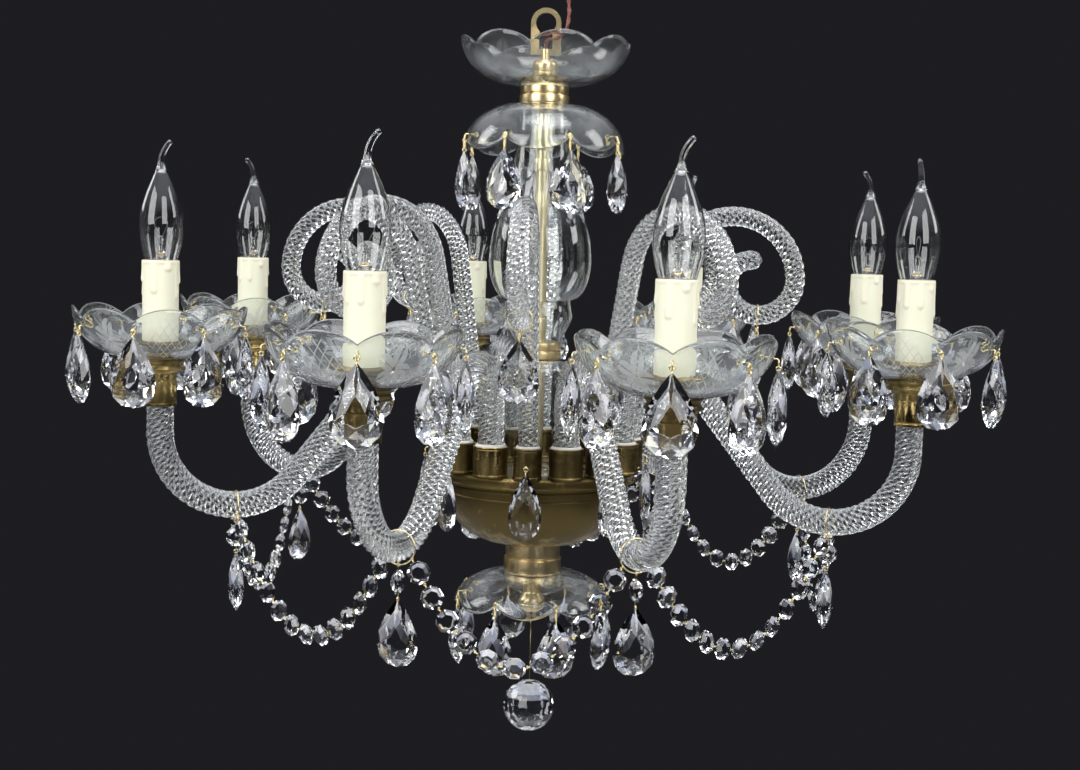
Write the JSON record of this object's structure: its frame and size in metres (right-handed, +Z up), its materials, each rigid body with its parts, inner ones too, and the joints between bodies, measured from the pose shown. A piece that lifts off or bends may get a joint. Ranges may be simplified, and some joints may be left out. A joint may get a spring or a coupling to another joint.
{
  "type": "glass chandelier",
  "caption": "Hanging glass chandelier with candle arms, twisted glass scrolls, scalloped drip pans, cut drops and bead swags on a brass stem.",
  "frame": {"origin": "centre of the hanging loop's eye", "axes": "+Z up, +Y along the eye's bore, and a scroll arm points along -Y"},
  "size_m": [0.7348, 0.7442, 0.64],
  "materials": {
    "polished_brass": "polished",
    "antique_brass": "aged satin",
    "clear_glass": "clear, thin",
    "rope_glass": "clear, twisted ribs",
    "crystal": "cut and polished",
    "bulb_glass": "clear, blown thin",
    "ivory": "satin",
    "plaster": "matt",
    "flex": "satin",
    "terminal": "satin"
  },
  "bodies": {
    "frame": {"hanging_loop": "polished_brass", "supply_flex": "flex", "terminal_block": "terminal", "bowl_nut": "polished_brass", "ceiling_bowl": "clear_glass", "top_collar": "polished_brass", "upper_dish": "clear_glass", "upper_dish_drops": "crystal", "baluster": "clear_glass", "middle_collar": "polished_brass", "centre_tube": "polished_brass", "glass_column": "clear_glass", "arm_plate": "antique_brass", "plaster_seats": "plaster", "hub_bowl": "antique_brass", "hub_drops": "crystal", "bottom_collar": "polished_brass", "lower_dish": "clear_glass", "lower_dish_drops": "crystal", "finial_nut": "polished_brass", "scroll_arms": "rope_glass", "scroll_drops": "crystal", "bead_swags": "crystal", "ferrules": "antique_brass", "lamp_holders": "antique_brass", "candle_sleeves": "ivory", "bulbs": "bulb_glass", "candle_arm_1": "rope_glass", "candle_arm_2": "rope_glass", "candle_arm_3": "rope_glass", "candle_arm_4": "rope_glass", "candle_arm_5": "rope_glass", "candle_arm_6": "rope_glass", "candle_arm_7": "rope_glass", "candle_arm_8": "rope_glass"},
    "pan_1": {"drip_pan_1": "clear_glass", "pan_drops_1": "crystal"},
    "pan_2": {"drip_pan_2": "clear_glass", "pan_drops_2": "crystal"},
    "pan_3": {"drip_pan_3": "clear_glass", "pan_drops_3": "crystal"},
    "pan_4": {"drip_pan_4": "clear_glass", "pan_drops_4": "crystal"},
    "pan_5": {"drip_pan_5": "clear_glass", "pan_drops_5": "crystal"},
    "pan_6": {"drip_pan_6": "clear_glass", "pan_drops_6": "crystal"},
    "pan_7": {"drip_pan_7": "clear_glass", "pan_drops_7": "crystal"},
    "pan_8": {"drip_pan_8": "clear_glass", "pan_drops_8": "crystal"},
    "pendant_1": {"arm_pendant_1": "crystal"},
    "pendant_2": {"arm_pendant_2": "crystal"},
    "pendant_3": {"arm_pendant_3": "crystal"},
    "pendant_4": {"arm_pendant_4": "crystal"},
    "pendant_5": {"arm_pendant_5": "crystal"},
    "pendant_6": {"arm_pendant_6": "crystal"},
    "pendant_7": {"arm_pendant_7": "crystal"},
    "pendant_8": {"arm_pendant_8": "crystal"},
    "ball": {"finial_ball": "crystal"}
  },
  "joints": [
    {"name": "pan_turn_1", "type": "hinge", "parent": "frame", "child": "pan_1", "pos_m": [-0.09281, -0.29817, -0.27949], "axis": [0, 0, 1], "continuous": true},
    {"name": "pan_turn_2", "type": "hinge", "parent": "frame", "child": "pan_2", "pos_m": [0.11212, -0.2919, -0.27949], "axis": [0, 0, 1], "continuous": true},
    {"name": "pan_turn_3", "type": "hinge", "parent": "frame", "child": "pan_3", "pos_m": [0.29922, -0.08888, -0.27949], "axis": [0, 0, 1], "continuous": true},
    {"name": "pan_turn_4", "type": "hinge", "parent": "frame", "child": "pan_4", "pos_m": [0.28892, 0.11967, -0.27949], "axis": [0, 0, 1], "continuous": true},
    {"name": "pan_turn_5", "type": "hinge", "parent": "frame", "child": "pan_5", "pos_m": [0.13081, 0.28396, -0.27949], "axis": [0, 0, 1], "continuous": true},
    {"name": "pan_turn_6", "type": "hinge", "parent": "frame", "child": "pan_6", "pos_m": [-0.09281, 0.29817, -0.27949], "axis": [0, 0, 1], "continuous": true},
    {"name": "pan_turn_7", "type": "hinge", "parent": "frame", "child": "pan_7", "pos_m": [-0.28218, 0.13445, -0.27949], "axis": [0, 0, 1], "continuous": true},
    {"name": "pan_turn_8", "type": "hinge", "parent": "frame", "child": "pan_8", "pos_m": [-0.28733, -0.12341, -0.27949], "axis": [0, 0, 1], "continuous": true},
    {"name": "pendant_swing_1", "type": "hinge", "parent": "frame", "child": "pendant_1", "pos_m": [-0.07677, -0.24035, -0.41094], "axis": [0.9636, -0.2672, 0], "range_deg": [-45, 45]},
    {"name": "pendant_swing_2", "type": "hinge", "parent": "frame", "child": "pendant_2", "pos_m": [0.0911, -0.23569, -0.41094], "axis": [0.9367, 0.3502, 0], "range_deg": [-45, 45]},
    {"name": "pendant_swing_3", "type": "hinge", "parent": "frame", "child": "pendant_3", "pos_m": [0.24113, -0.07386, -0.41094], "axis": [0.2504, 0.9681, 0], "range_deg": [-45, 45]},
    {"name": "pendant_swing_4", "type": "hinge", "parent": "frame", "child": "pendant_4", "pos_m": [0.23349, 0.09671, -0.41094], "axis": [-0.3827, 0.9239, 0], "range_deg": [-45, 45]},
    {"name": "pendant_swing_5", "type": "hinge", "parent": "frame", "child": "pendant_5", "pos_m": [0.10497, 0.22981, -0.41094], "axis": [-0.9026, 0.4305, 0], "range_deg": [-45, 45]},
    {"name": "pendant_swing_6", "type": "hinge", "parent": "frame", "child": "pendant_6", "pos_m": [-0.07677, 0.24035, -0.41094], "axis": [-0.9636, -0.2672, 0], "range_deg": [-45, 45]},
    {"name": "pendant_swing_7", "type": "hinge", "parent": "frame", "child": "pendant_7", "pos_m": [-0.22849, 0.10768, -0.41094], "axis": [-0.4462, -0.8949, 0], "range_deg": [-45, 45]},
    {"name": "pendant_swing_8", "type": "hinge", "parent": "frame", "child": "pendant_8", "pos_m": [-0.23231, -0.09949, -0.41094], "axis": [0.3987, -0.9171, 0], "range_deg": [-45, 45]},
    {"name": "ball_swing", "type": "hinge", "parent": "frame", "child": "ball", "pos_m": [0, 0, -0.5008], "axis": [0, 1, 0], "range_deg": [-20, 20]}
  ]
}
